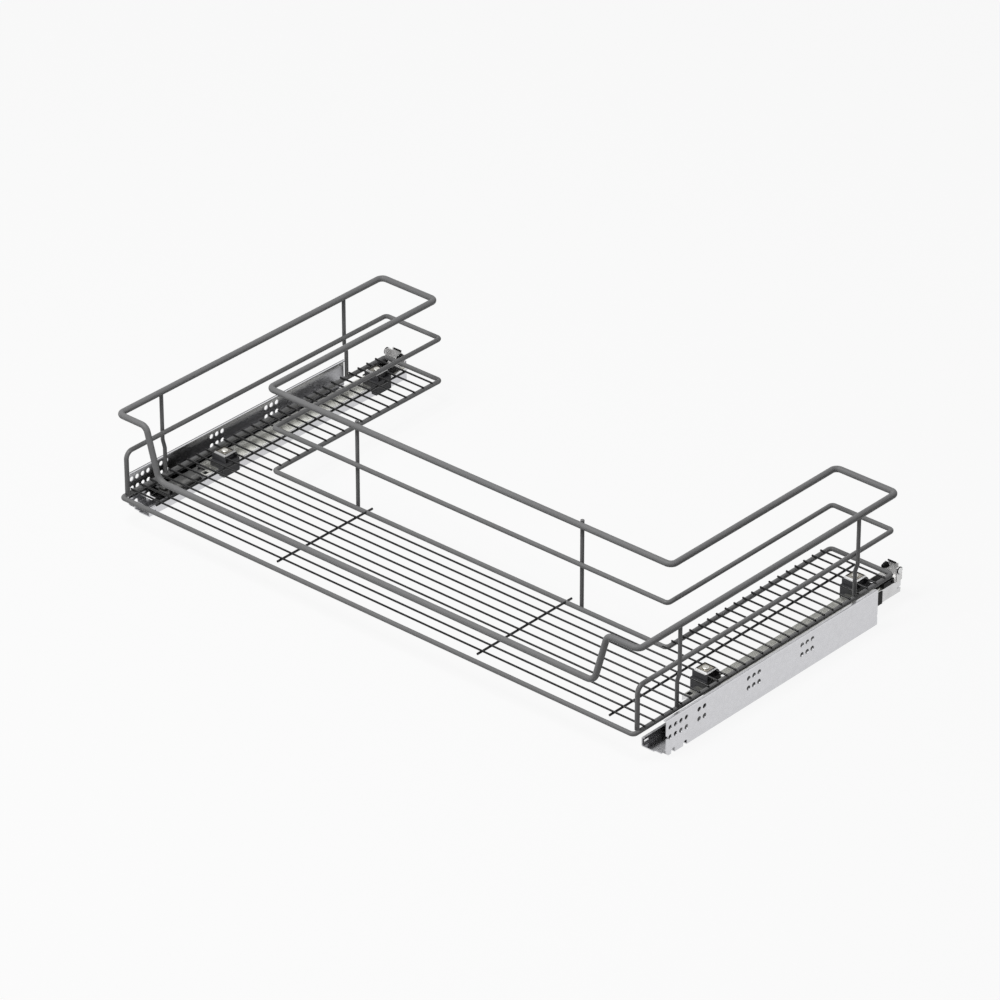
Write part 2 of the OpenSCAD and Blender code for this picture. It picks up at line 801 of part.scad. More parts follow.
// Cut-outs at the front end: a rounded lower corner, two hook notches that run
// round into the floor, a square floor hole and a window in the inner lip.
module rail_nose() {
  corner = 8;
  difference() {
    translate([face_x - 9, rail_front_y - cut, -rail_drop - cut])
      cube([12, corner + cut, corner + cut]);
    translate([face_x - 10, rail_front_y + corner, -rail_drop + corner])
      rotate([0, 90, 0]) cylinder(r = corner, h = 14);
  }
  for (y = [rail_front_y + 8.6, rail_front_y + 30.2]) {
    translate([face_x - 11, y, -rail_drop - cut]) cube([12, 7.4, 4 + cut]);
    translate([face_x - 11, y + 3.7, -rail_drop + 4]) rotate([0, 90, 0])
      cylinder(d = 7.4, h = 12);
  }
  translate([face_x - 13, rail_front_y + 56.6, -rail_drop - cut]) cube([6.4, 6.4, 3]);
  translate([face_x - 18.5, rail_front_y - cut, -rail_drop - cut]) cube([19, 2 + cut, 3]);
  translate([face_x - 3, rail_front_y - cut, -12.4]) cube([4, 3 + cut, 4]);
  translate([lip_x - 2, rail_front_y + 3.4, -32.6]) cube([4, 7.6, 3]);
}

module cabinet_rail_left() {
  color(STEEL) at_origin() on_left() cabinet_rail();
}

module cabinet_rail_right() {
  color(STEEL) at_origin() cabinet_rail();
}

// Rubber buffer on the cabinet rail's rear tab, for the closed drawer.
module end_buffers() {
  front_y = drawer_end_y + 0.3;
  color(RUBBER) at_origin() both_sides()
    translate([lip_x + 3.25, front_y, -drawer_drop - 2]) rotate([-90, 0, 0])
      cylinder(d = 5, h = rail_end_y - sheet - seat - front_y);
}

top_rail();
middle_rail();
base_frame();
side_posts();
cutout_posts();
floor_wires_front();
floor_wires_left();
floor_wires_right();
support_wires();
drawer_rail_left();
drawer_rail_right();
holder_blocks();
clamp_plates();
clamp_screws();
guide_shoes();
rear_latches();
rear_stop_plates();
stop_edge_strips();
rear_bumpers();
stop_ear_caps();
middle_slide_left();
middle_slide_right();
lower_cage_left();
lower_cage_right();
lower_rollers_left();
lower_rollers_right();
upper_cage_left();
upper_cage_right();
upper_rollers_left();
upper_rollers_right();
cabinet_rail_left();
cabinet_rail_right();
end_buffers();
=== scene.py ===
import math

import bpy
import numpy as np
from mathutils import Matrix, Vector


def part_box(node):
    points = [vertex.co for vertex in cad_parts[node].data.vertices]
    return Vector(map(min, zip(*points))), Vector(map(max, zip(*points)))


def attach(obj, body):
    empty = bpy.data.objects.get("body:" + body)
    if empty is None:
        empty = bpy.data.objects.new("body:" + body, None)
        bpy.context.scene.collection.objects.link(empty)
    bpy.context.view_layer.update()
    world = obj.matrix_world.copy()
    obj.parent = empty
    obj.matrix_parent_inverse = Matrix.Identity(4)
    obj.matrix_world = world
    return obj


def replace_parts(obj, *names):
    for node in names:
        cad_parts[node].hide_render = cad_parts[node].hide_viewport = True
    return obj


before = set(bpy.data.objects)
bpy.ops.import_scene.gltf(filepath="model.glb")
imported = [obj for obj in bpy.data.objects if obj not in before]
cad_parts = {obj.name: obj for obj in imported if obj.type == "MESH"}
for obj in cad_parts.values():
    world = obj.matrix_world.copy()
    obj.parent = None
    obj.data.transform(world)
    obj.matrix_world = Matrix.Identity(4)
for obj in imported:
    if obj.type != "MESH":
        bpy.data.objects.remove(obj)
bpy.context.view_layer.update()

# The studio: a long lens looks down on the drawer's front right corner. One
# wide lamp hangs above and in front, so that the wires are light on top and
# dark below, and a weak one stands at the camera's side.
scene = bpy.context.scene
scene.view_settings.view_transform = "Standard"

view_az, view_el = math.radians(41.420), math.radians(30.027)
view_dist = 7.0666
aim = np.array([0.0, -0.0031, 0.0774])
aim_right, aim_up = -0.00792, 0.00485
lens_mm, sensor_mm, near_clip, far_clip = 211.38, 36, 0.5, 40

cam_back = np.array([
    math.sin(view_az) * math.cos(view_el), -math.cos(view_az) * math.cos(view_el), math.sin(view_el)])
cam_right = np.array([math.cos(view_az), math.sin(view_az), 0.0])
cam_up = np.cross(cam_back, cam_right)


def stand(thing, right, up, back, place):
    """Puts a camera or lamp at a place, with its local axes along three directions."""
    matrix = np.eye(4)
    matrix[:3, 0], matrix[:3, 1], matrix[:3, 2], matrix[:3, 3] = right, up, back, place
    thing.matrix_world = Matrix(matrix.tolist())
    scene.collection.objects.link(thing)


camera = bpy.data.objects.new("camera", bpy.data.cameras.new("camera"))
camera.data.lens, camera.data.sensor_width = lens_mm, sensor_mm
camera.data.clip_start, camera.data.clip_end = near_clip, far_clip
stand(camera, cam_right, cam_up, cam_back,
      aim + aim_right * cam_right + aim_up * cam_up + view_dist * cam_back)
scene.camera = camera


def soft_lamp(name, place, size, power):
    """A square lamp at a place, facing the middle of the floor."""
    data = bpy.data.lights.new(name, "AREA")
    data.shape, data.size, data.energy = "SQUARE", size, power
    back = np.array(place) / np.linalg.norm(place)
    right = np.cross([0.0, 1.0, 0.0], back)
    right /= np.linalg.norm(right)
    stand(bpy.data.objects.new(name, data), right, np.cross(back, right), back, place)


soft_lamp("overhead_lamp", place=(-0.35, -1.23, 2.93), size=1.3, power=92)
soft_lamp("camera_side_lamp", place=(1.33, -1.51, 2.23), size=1.2, power=7)

sky = bpy.data.worlds.new("studio_white")
scene.world = sky
sky.use_nodes = True
sky_nodes, sky_links = sky.node_tree.nodes, sky.node_tree.links
sky_nodes.clear()
ambient = 0.12


def maths(tree, operation, first, second=None):
    """One step of arithmetic in a node tree. Each side is a value of it or a number."""
    step = tree.nodes.new("ShaderNodeMath")
    step.operation = operation
    for side, value in enumerate((first, second)):
        if isinstance(value, (int, float)):
            step.inputs[side].default_value = value
        elif value is not None:
            tree.links.new(value, step.inputs[side])
    return step.outputs[0]


def seen_mask(tree):
    """1 for a ray that the eye, a mirror or glass sends, and 0 for the light's own."""
    path = tree.nodes.new("ShaderNodeLightPath")
    first = maths(tree, "MAXIMUM", path.outputs["Is Camera Ray"], path.outputs["Is Glossy Ray"])
    return maths(tree, "MAXIMUM", first, path.outputs["Is Transmission Ray"])


sky_light, sky_seen = sky_nodes.new("ShaderNodeBackground"), sky_nodes.new("ShaderNodeBackground")
sky_light.inputs["Color"].default_value = sky_seen.inputs["Color"].default_value = (1, 1, 1, 1)
sky_light.inputs["Strength"].default_value = ambient
sky_seen.inputs["Strength"].default_value = 1.0
sky_mix, sky_out = sky_nodes.new("ShaderNodeMixShader"), sky_nodes.new("ShaderNodeOutputWorld")
sky_links.new(seen_mask(sky.node_tree), sky_mix.inputs[0])
sky_links.new(sky_light.outputs[0], sky_mix.inputs[1])
sky_links.new(sky_seen.outputs[0], sky_mix.inputs[2])
sky_links.new(sky_mix.outputs[0], sky_out.inputs[0])

# The floor: a white sheet just under the slides, which looks nearly white and
# keeps a soft trace of the drawer's shadow.
floor_span, floor_drop = 9.0, 0.0005
floor_glow_share, floor_grey = 0.91, (0.55, 0.55, 0.55, 1)
floor_mesh = bpy.data.meshes.new("studio_floor")
floor_mesh.from_pydata(
    [(-floor_span, -floor_span, -floor_drop), (floor_span, -floor_span, -floor_drop),
     (floor_span, floor_span, -floor_drop), (-floor_span, floor_span, -floor_drop)], [], [(0, 1, 2, 3)])
studio_floor = bpy.data.objects.new("studio_floor", floor_mesh)
scene.collection.objects.link(studio_floor)
floor_paint = bpy.data.materials.new("floor_white")
floor_paint.use_nodes = True
floor_nodes, floor_links = floor_paint.node_tree.nodes, floor_paint.node_tree.links
floor_nodes.clear()
floor_matt, floor_glow = floor_nodes.new("ShaderNodeBsdfDiffuse"), floor_nodes.new("ShaderNodeEmission")
floor_matt.inputs["Color"].default_value = floor_grey
floor_glow.inputs["Strength"].default_value = 1.0
floor_mix, floor_out = floor_nodes.new("ShaderNodeMixShader"), floor_nodes.new("ShaderNodeOutputMaterial")
floor_share = maths(floor_paint.node_tree, "MULTIPLY", seen_mask(floor_paint.node_tree), floor_glow_share)
floor_links.new(floor_share, floor_mix.inputs[0])
floor_links.new(floor_matt.outputs[0], floor_mix.inputs[1])
floor_links.new(floor_glow.outputs[0], floor_mix.inputs[2])
floor_links.new(floor_mix.outputs[0], floor_out.inputs[0])
floor_mesh.materials.append(floor_paint)

# The top rail: one 8 mm steel wire, bent round mandrels into a closed loop
# that dips at the front, and powder-coated a satin anthracite with the rest.
frame_low, frame_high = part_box("base_frame")
frame_r = 0.003
front_y, base_z = frame_low.y + frame_r, (frame_low.z + frame_high.z) / 2
base_x, base_depth = frame_high.x - frame_r, frame_high.y - frame_r - front_y
cut_x, cut_y = 0.3151, 0.1706


def placed(points):
    """Places points measured from the middle of the front wire, in metres."""
    return np.asarray(points, float) + np.array([0.0, front_y, base_z])


def bent_line(corners, radii, closed, arc_step=math.radians(5)):
    """Points of a line that is straight between its corners and rounds each one on
    an arc: centre + r (cos t a + sin t b), from the first straight to the next."""
    runs, count = [], len(corners)
    for i, here in enumerate(corners):
        if not closed and i in (0, count - 1):
            runs.append(here[None])
            continue
        u = here - corners[i - 1]
        v = corners[(i + 1) % count] - here
        u, v = u / np.linalg.norm(u), v / np.linalg.norm(v)
        angle = math.acos(np.clip(u @ v, -1, 1))
        inward = (v - u) / np.linalg.norm(v - u)
        centre = here + inward * radii[i] / math.cos(angle / 2)
        out = (here - radii[i] * math.tan(angle / 2) * u - centre) / radii[i]
        t = np.linspace(0, angle, max(3, math.ceil(angle / arc_step) + 1))[:, None]
        runs.append(centre + radii[i] * (np.cos(t) * out + np.sin(t) * u))
    return np.concatenate(runs)


def rings_along(line, radius, closed, sides):
    """Circles of a radius about the points of a line, square to it. Each starts in
    the direction of the last one's start, and in a closed line the turn that is
    left over at the end is shared out evenly."""
    ahead, behind = np.roll(line, -1, 0) - line, line - np.roll(line, 1, 0)
    if not closed:
        ahead[-1], behind[0] = behind[-1], ahead[0]
    tangent = (ahead / np.linalg.norm(ahead, axis=1)[:, None]
               + behind / np.linalg.norm(behind, axis=1)[:, None])
    tangent /= np.linalg.norm(tangent, axis=1)[:, None]
    start = np.cross(tangent[0], [0.0, 0.0, 1.0])
    if np.linalg.norm(start) < 0.1:
        start = np.cross(tangent[0], [0.0, 1.0, 0.0])
    side = [start / np.linalg.norm(start)]
    for forward in list(tangent[1:]) + ([tangent[0]] if closed else []):
        carried = side[-1] - forward * (side[-1] @ forward)
        side.append(carried / np.linalg.norm(carried))
    left_over = 0.0
    if closed:
        back = side.pop()
        left_over = math.atan2(np.cross(side[0], back) @ tangent[0], side[0] @ back)
    side = np.array(side)
    up = np.cross(side, tangent)
    t = np.linspace(0, 2 * math.pi, sides, endpoint=False) + np.linspace(0, left_over, len(line))[:, None]
    reach = np.broadcast_to(radius, len(line))[:, None, None]
    return line[:, None] + reach * (np.cos(t)[..., None] * side[:, None] + np.sin(t)[..., None] * up[:, None])


def skin_of(rings, closed):
    """Points, four-sided faces and end faces of a tube through rings of points."""
    count, sides = rings.shape[:2]
    index = np.arange(count * sides).reshape(count, sides)
    here = index if closed else index[:-1]
    ahead = np.roll(index, -1, 0) if closed else index[1:]
    quads = np.stack([here, ahead, np.roll(ahead, -1, 1), np.roll(here, -1, 1)], -1).reshape(-1, 4)
    return rings.reshape(-1, 3), quads, [] if closed else [index[0], index[-1][::-1]]


def wire(corners, radii, radius, closed=False, sides=28):
    """The skin of one bent wire: (points, four-sided faces, end faces). An open
    wire's ends are flat, with an edge rounded off by a fifth of its radius."""
    line = bent_line(placed(corners), radii, closed)
    reach = np.full(len(line), radius)
    if not closed:
        t, edge = np.linspace(0, math.pi / 2, 4), 0.2 * radius
        sink, shrink = edge * (1 - np.sin(t)), edge * (1 - np.cos(t))
        first, last = line[1] - line[0], line[-1] - line[-2]
        first, last = first / np.linalg.norm(first), last / np.linalg.norm(last)
        line = np.concatenate([
            line[0] + sink[::-1, None] * first, line[1:-1], line[-1] - sink[:, None] * last])
        reach = np.concatenate([radius - shrink[::-1], reach[1:-1], radius - shrink])
    return skin_of(rings_along(line, reach, closed, sides), closed)


def new_piece(name, skins, finish, body, edge_angle=math.radians(40)):
    """One object made of several closed skins, shaded smooth between sharp edges."""
    points, faces, shift = [], [], 0
    for verts, quads, ends in skins:
        points.append(verts)
        faces += (quads + shift).tolist() + [(end + shift).tolist() for end in ends]
        shift += len(verts)
    mesh = bpy.data.meshes.new(name)
    mesh.from_pydata(np.concatenate(points).tolist(), [], faces)
    mesh.shade_smooth()
    mesh.set_sharp_from_angle(angle=edge_angle)
    mesh.materials.append(finish)
    piece = bpy.data.objects.new(name, mesh)
    scene.collection.objects.link(piece)
    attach(piece, body)
    return piece


def new_group(name, inputs):
    """A shader node group with named inputs, each a colour or a number with its
    usual value, and the outputs Colour, Roughness and Relief."""
    group = bpy.data.node_groups.new(name, "ShaderNodeTree")
    for label, value in inputs:
        kind = "NodeSocketFloat" if isinstance(value, float) else "NodeSocketColor"
        group.interface.new_socket(name=label, in_out="INPUT", socket_type=kind).default_value = value
    for label, kind in (("Colour", "Color"), ("Roughness", "Float"), ("Relief", "Float")):
        group.interface.new_socket(name=label, in_out="OUTPUT", socket_type="NodeSocket" + kind)
    place = group.nodes.new("ShaderNodeTexCoord").outputs["Object"]
    return group, group.nodes.new("NodeGroupInput").outputs, place


def give(group, colour, roughness, relief):
    """Joins a group's results to its three outputs."""
    out = group.nodes.new("NodeGroupOutput")
    for label, value in (("Colour", colour), ("Roughness", roughness), ("Relief", relief)):
        group.links.new(value, out.inputs[label])
    return group


def ranged(group, source, low, high, to_low, to_high):
    """A value of the group, mapped in a straight line so that low gives to_low and
    high gives to_high, and held there outside."""
    spread = group.nodes.new("ShaderNodeMapRange")
    for label, value in (("From Min", low), ("From Max", high), ("To Min", to_low), ("To Max", to_high)):
        spread.inputs[label].default_value = value
    group.links.new(source, spread.inputs["Value"])
    return spread.outputs["Result"]


def noise(group, place, scale, detail=2.0):
    """A noise texture of the group, read at a place."""
    grain = group.nodes.new("ShaderNodeTexNoise")
    grain.inputs["Detail"].default_value = detail
    if isinstance(scale, float):
        grain.inputs["Scale"].default_value = scale
    else:
        group.links.new(scale, grain.inputs["Scale"])
    group.links.new(place, grain.inputs["Vector"])
    return grain.outputs["Fac"]


def shaded(group, colour, factor):
    """A colour of the group times a factor."""
    tint = group.nodes.new("ShaderNodeVectorMath")
    tint.operation = "SCALE"
    group.links.new(colour, tint.inputs[0])
    group.links.new(factor, tint.inputs["Scale"])
    return tint.outputs[0]


def coat_group():
    """Powder coat: its shade drifts slowly along the wire and its skin has the fine
    ripple of orange peel."""
    group, given, place = new_group(
        "powder_coat", [("Colour", (0.12, 0.12, 0.12, 1)), ("Roughness", 0.4), ("Peel Scale", 900.0)])
    shade = ranged(group, noise(group, place, 16.0, 3.0), 0.3, 0.7, 0.94, 1.06)
    return give(group, shaded(group, given["Colour"], shade),
                maths(group, "MULTIPLY", given["Roughness"], shade),
                noise(group, place, given["Peel Scale"], 1.0))


powder_coat = coat_group()


def finish_from(name, group, values, relief, metallic=0.0, specular=0.5):
    """A material fed by a group's Colour, Roughness and Relief. Relief is the
    height of its bumps in metres."""
    finish = bpy.data.materials.new(name)
    finish.use_nodes = True
    nodes, links = finish.node_tree.nodes, finish.node_tree.links
    skin = nodes["Principled BSDF"]
    skin.inputs["Metallic"].default_value = metallic
    skin.inputs["Specular IOR Level"].default_value = specular
    source, bump = nodes.new("ShaderNodeGroup"), nodes.new("ShaderNodeBump")
    source.node_tree = group
    for label, value in values.items():
        source.inputs[label].default_value = value
    bump.inputs["Distance"].default_value = relief
    links.new(source.outputs["Colour"], skin.inputs["Base Color"])
    links.new(source.outputs["Roughness"], skin.inputs["Roughness"])
    links.new(source.outputs["Relief"], bump.inputs["Height"])
    links.new(bump.outputs["Normal"], skin.inputs["Normal"])
    return finish


coat_relief, coat_specular = 0.00002, 0.15
rail_coat = finish_from("rail_powder_coat", powder_coat, {
    "Colour": (0.175, 0.175, 0.177, 1), "Roughness": 0.45}, coat_relief, specular=coat_specular)

top_x, top_z, low_z = 0.4124, 0.1141, 0.045
top_cut_x, top_back_y, stub_y, rail_r = 0.3205, base_depth - 0.0019, 0.003, 0.004
stub_end_x, low_end_x = top_x - 0.0464, top_x - 0.0464 - 0.0194
top_bend, stub_bend, low_bend = 0.008, 0.010, 0.014
top_right = np.array([
    (low_end_x, stub_y, low_z), (stub_end_x, stub_y, top_z), (top_x, stub_y, top_z),
    (top_x, top_back_y, top_z), (top_cut_x, top_back_y, top_z), (top_cut_x, cut_y, top_z)])
top_radii = [low_bend, stub_bend, top_bend, top_bend, top_bend, top_bend]
top_path = np.concatenate([top_right, top_right[::-1] * [-1, 1, 1]])
top_rail = new_piece(
    "top_rail_wire", [wire(top_path, top_radii + top_radii[::-1], rail_r, closed=True, sides=36)],
    rail_coat, "drawer")
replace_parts(top_rail, "top_rail")

# The middle rail: a 6 mm wire round the basket at half height, whose two ends
# turn down at the front and are welded to the base frame.
frame_coat = finish_from("frame_powder_coat", powder_coat, {
    "Colour": (0.165, 0.165, 0.166, 1), "Roughness": 0.33}, coat_relief, specular=coat_specular)
mid_x, mid_z, mid_front_y = base_x - 0.0018, 0.0603, 0.0082
leg_foot_z, leg_bend, frame_bend = 0.0022, 0.010, 0.005
mid_right = np.array([
    (mid_x, mid_front_y, leg_foot_z), (mid_x, mid_front_y, mid_z), (mid_x, base_depth, mid_z),
    (cut_x, base_depth, mid_z), (cut_x, cut_y + 0.0006, mid_z)])
mid_path = np.concatenate([mid_right, mid_right[::-1] * [-1, 1, 1]])
middle_rail = new_piece(
    "middle_rail_wire", [wire(mid_path, [0, leg_bend] + [frame_bend] * 6 + [leg_bend, 0], frame_r)],
    frame_coat, "drawer")
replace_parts(middle_rail, "middle_rail")

# The base frame: a 6 mm wire bent to the basket's U outline and butt-welded
# into a closed loop. It carries the floor wires and the posts.
base_right = np.array([
    (base_x, 0.0, 0.0), (base_x, base_depth, 0.0), (cut_x, base_depth, 0.0), (cut_x, cut_y, 0.0)])
base_path = np.concatenate([base_right, base_right[::-1] * [-1, 1, 1]])
base_frame = new_piece(
    "base_frame_wire", [wire(base_path, [frame_bend] * len(base_path), frame_r, closed=True)],
    frame_coat, "drawer")
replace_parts(base_frame, "base_frame")

# The posts: 5 mm wires welded upright. Those at the sides stand outside the
# middle rail and kink in to land on the base frame; two carry the cut-out.
post_r, post_bend = 0.0025, 0.005
side_post_x, side_post_top = mid_x + 0.0052, top_z - 0.0034
kink_top, kink_low = 0.048, 0.0375
side_post_ys = (0.0765, 0.404)
cut_post_x, cut_post_y, cut_post_foot, cut_post_top = 0.1795, cut_y + 0.0054, -0.002, top_z + 0.0044


def side_post(hand, y):
    """One side post from under the top rail down to the base frame."""
    path = np.array([
        (side_post_x, y, side_post_top), (side_post_x, y, kink_top),
        (base_x, y, kink_low), (base_x, y, leg_foot_z)])
    return wire(path * [hand, 1, 1], [post_bend] * 4, post_r, sides=24)


side_posts = new_piece("side_post_wires", [
    side_post(hand, y) for hand in (-1, 1) for y in side_post_ys], frame_coat, "drawer")
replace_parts(side_posts, "side_posts")
cutout_posts = new_piece("cutout_post_wires", [
    wire([(hand * cut_post_x, cut_post_y, z) for z in (cut_post_foot, cut_post_top)],
         [0, 0], post_r, sides=24) for hand in (-1, 1)], frame_coat, "drawer")
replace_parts(cutout_posts, "cutout_posts")

# The floor: 2.5 mm wires laid across the base frame 16.36 mm apart and
# spot-welded to it, over 3 mm wires that run from front to back.
floor_coat = finish_from("floor_powder_coat", powder_coat, {
    "Colour": (0.014, 0.014, 0.0145, 1), "Roughness": 0.28}, coat_relief, specular=0.22)
floor_r, floor_z, floor_first, floor_pitch, floor_reach = 0.00125, 0.00405, 0.01787, 0.01636, 0.0018
full_rows, row_count = 9, 28
last_floor_y = floor_first + (row_count - 1) * floor_pitch
support_r, support_z, support_front_y = 0.0015, 0.0014, floor_first - 0.0059
support_runs = [(0.160, cut_y + 0.0099), (base_x - 0.0465, last_floor_y + 0.0044)]


def floor_row(row, x_from, x_to):
    """One floor wire between two distances from the middle."""
    y = floor_first + row * floor_pitch
    return wire([(x_from, y, floor_z), (x_to, y, floor_z)], [0, 0], floor_r, sides=14)


floor_end_x, arm_end_x = base_x + floor_reach, cut_x - floor_reach
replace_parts(new_piece(
    "floor_wires_front_part", [floor_row(row, -floor_end_x, floor_end_x) for row in range(full_rows)],
    floor_coat, "drawer"), "floor_wires_front")
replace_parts(new_piece(
    "floor_wires_right_arm", [floor_row(row, arm_end_x, floor_end_x) for row in range(full_rows, row_count)],
    floor_coat, "drawer"), "floor_wires_right")
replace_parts(new_piece(
    "floor_wires_left_arm", [floor_row(row, -floor_end_x, -arm_end_x) for row in range(full_rows, row_count)],
    floor_coat, "drawer"), "floor_wires_left")
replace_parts(new_piece("support_wires_under_floor", [
    wire([(hand * x, y, support_z) for y in (support_front_y, end_y)], [0, 0], support_r, sides=16)
    for hand in (-1, 1) for x, end_y in support_runs], floor_coat, "drawer"), "support_wires")

# The slides: three members a side, roll-formed from 1.5 mm zinc-plated steel
# strip. The cabinet rails are screwed to the cabinet's side panels.
rail_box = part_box("cabinet_rail_right")
channel_in, channel_out = rail_box[0].x + 0.0014, rail_box[1].x - 0.0007
channel_low, channel_top = 0.001, rail_box[1].z - 0.0018
# Where the painted shade inside the channels starts, is full, fades and ends, and how much is left at the
# rear.
shade_front_y, shade_full_y, shade_fade_y, shade_rear_y, shade_rear_share = -0.235, -0.165, -0.13, 0.11, 0.3
# Width, height and darkness of the painted dark reflection on the left rail's outer top fold.
painted_fold_w, painted_fold_h, painted_fold_darkness = 0.0027, 0.0015, 0.03


def between(group, value, low, high):
    """1 where a value of the group lies between two limits, and 0 elsewhere."""
    return maths(group, "MULTIPLY",
                 maths(group, "GREATER_THAN", value, low), maths(group, "LESS_THAN", value, high))


def axes_of(group, place):
    """The X, Y and Z of a place in the group."""
    axes = group.nodes.new("ShaderNodeSeparateXYZ")
    group.links.new(place, axes.inputs[0])
    return axes.outputs


def channel_shade_mask(group, place):
    """Painted shade on the inner faces of the cabinet rails' channels: darkest
    behind the fixing holes, where the cages stop. It fades out quickly to the
    front end, and towards the rear as the square of a straight slope."""
    axes = axes_of(group, place)
    inside = maths(group, "MULTIPLY",
                   between(group, maths(group, "ABSOLUTE", axes["X"]), channel_in, channel_out),
                   between(group, axes["Z"], channel_low, channel_top))
    fade = ranged(group, axes["Y"], shade_fade_y, shade_rear_y, 1.0, shade_rear_share)
    front = ranged(group, axes["Y"], shade_front_y, shade_full_y, 0.0, 1.0)
    spread = maths(group, "MULTIPLY", maths(group, "POWER", fade, 2.0), front)
    return maths(group, "MULTIPLY", inside, spread)


def painted_fold_line(group, place):
    """1 on the painted dark reflection along the left cabinet rail's outer top
    fold, and 0 elsewhere."""
    axes = axes_of(group, place)
    return maths(group, "MULTIPLY", between(group, axes["X"], -1.0, painted_fold_w - rail_box[1].x),
                 between(group, axes["Z"], rail_box[1].z - painted_fold_h, 1.0))


def zinc_group():
    """Zinc-plated strip: faint spangles, rolling lines along the slide that change
    the roughness, painted shade inside the channels, and a painted dark
    reflection along the left fold."""
    group, given, place = new_group("zinc_plating", [
        ("Colour", (0.6, 0.61, 0.62, 1)), ("Roughness", 0.35), ("Spangle Scale", 140.0), ("Channel Shade", 0.0)])
    spangle, lines = group.nodes.new("ShaderNodeTexVoronoi"), group.nodes.new("ShaderNodeMapping")
    group.links.new(place, spangle.inputs["Vector"])
    group.links.new(given["Spangle Scale"], spangle.inputs["Scale"])
    lines.inputs["Scale"].default_value = (1400, 20, 1400)
    group.links.new(place, lines.inputs["Vector"])
    rolled = noise(group, lines.outputs["Vector"], 1.0, 2.0)
    clean = shaded(group, given["Colour"], ranged(group, spangle.outputs["Distance"], 0.0, 0.9, 1.03, 0.96))
    # Painted shade: the channels' inner faces darkened where the rails hide them from the light.
    channel_shade = maths(group, "MULTIPLY", channel_shade_mask(group, place), given["Channel Shade"])
    channel_shaded = shaded(group, clean, ranged(group, channel_shade, 0.0, 1.0, 1.0, 0.0))
    # Painted reflection: a dark line along the left rail's outer top fold.
    fold_shaded = shaded(group, channel_shaded, ranged(group, painted_fold_line(group, place), 0.0, 1.0, 1.0, painted_fold_darkness))
    rough = maths(group, "MULTIPLY", given["Roughness"], ranged(group, rolled, 0.3, 0.7, 0.85, 1.15))
    return give(group, fold_shaded, rough, rolled)


zinc_plating = zinc_group()
# The channel setting below is how dark the painted shade inside the channels is.
zinc = finish_from("zinc_plated_strip", zinc_plating, {
    "Colour": (0.63, 0.63, 0.65, 1), "Roughness": 0.22, "Channel Shade": 0.8},
    relief=0.000003, metallic=1.0)


def finish_node(names, finish):
    """Gives CAD nodes that stay as they are a finish."""
    for name in names:
        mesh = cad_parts[name].data
        mesh.materials.clear()
        mesh.materials.append(finish)


finish_node(["cabinet_rail_left", "cabinet_rail_right"], zinc)

# The drawer rails and middle slides: the same strip from a duller coil. The drawer
# rails' upper face, under the floor wires, is darker and warmer, with painted light on the left one.
tongue_low, deck_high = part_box("drawer_rail_right")
deck_z, left_deck_painted_light = deck_high.z - 0.0002, 1.6


def mixed(group, share, first, second):
    """The first colour of the group where a share of it is 0, the second where it is 1."""
    mix = group.nodes.new("ShaderNodeMix")
    mix.data_type = "RGBA"
    for value, side in ((share, mix.inputs["Factor"]), (first, mix.inputs[6]), (second, mix.inputs[7])):
        group.links.new(value, side)
    return mix.outputs[2]


def by_side(group, axes, left):
    """A factor for the slides' left side, and 1 for the right."""
    return ranged(group, axes["X"], -0.1, 0.1, left, 1.0)


def deck_zinc_group():
    """The strip's plating, with a duller, warmer colour on the deck: where the
    height is over the deck's, and with faint blotches. The left deck carries
    painted light: it is lighter than the right one."""
    group, given, place = new_group("deck_zinc", [
        ("Colour", (0.7, 0.7, 0.7, 1)), ("Deck Colour", (0.36, 0.36, 0.33, 1)), ("Roughness", 0.4)])
    axes = axes_of(group, place)
    # Painted light: the left deck's colour is raised 1.6 times over the right one's.
    side_lit_deck = shaded(group, given["Deck Colour"], by_side(group, axes, left_deck_painted_light))
    colour = mixed(group, between(group, axes["Z"], deck_z, 1.0), given["Colour"], side_lit_deck)
    blotch = noise(group, place, 60.0, 4.0)
    return give(group, shaded(group, colour, ranged(group, blotch, 0.3, 0.7, 0.93, 1.05)),
                maths(group, "MULTIPLY", given["Roughness"], ranged(group, blotch, 0.3, 0.7, 1.15, 0.9)),
                noise(group, place, 700.0, 2.0))


deck_zinc = deck_zinc_group()
rail_zinc = finish_from("drawer_rail_zinc", deck_zinc, {
    "Colour": (0.72, 0.72, 0.725, 1), "Deck Colour": (0.50, 0.50, 0.465, 1), "Roughness": 0.22},
    relief=0.0000003, metallic=0.8)
middle_zinc = finish_from("middle_slide_zinc", deck_zinc, {
    "Colour": (0.24, 0.24, 0.235, 1), "Roughness": 0.45}, relief=0.000003, metallic=0.6)
finish_node(["drawer_rail_left", "drawer_rail_right"], rail_zinc)
finish_node(["middle_slide_left", "middle_slide_right"], middle_zinc)

# The clamps: a moulded block sits on the drawer rail, and a pressed steel
# plate holds two floor wires down on it with one self-tapping screw.
def moulding_group():
    """Moulded plastic or rubber: a fine spark-eroded grain and slow clouding."""
    group, given, place = new_group(
        "moulding_grain", [("Colour", (0.03, 0.03, 0.032, 1)), ("Roughness", 0.5), ("Grain Scale", 1600.0)])
    clouds = noise(group, place, 45.0, 3.0)
    return give(group, shaded(group, given["Colour"], ranged(group, clouds, 0.3, 0.7, 0.9, 1.1)),
                maths(group, "MULTIPLY", given["Roughness"], ranged(group, clouds, 0.3, 0.7, 1.1, 0.9)),
                noise(group, place, given["Grain Scale"], 2.0))


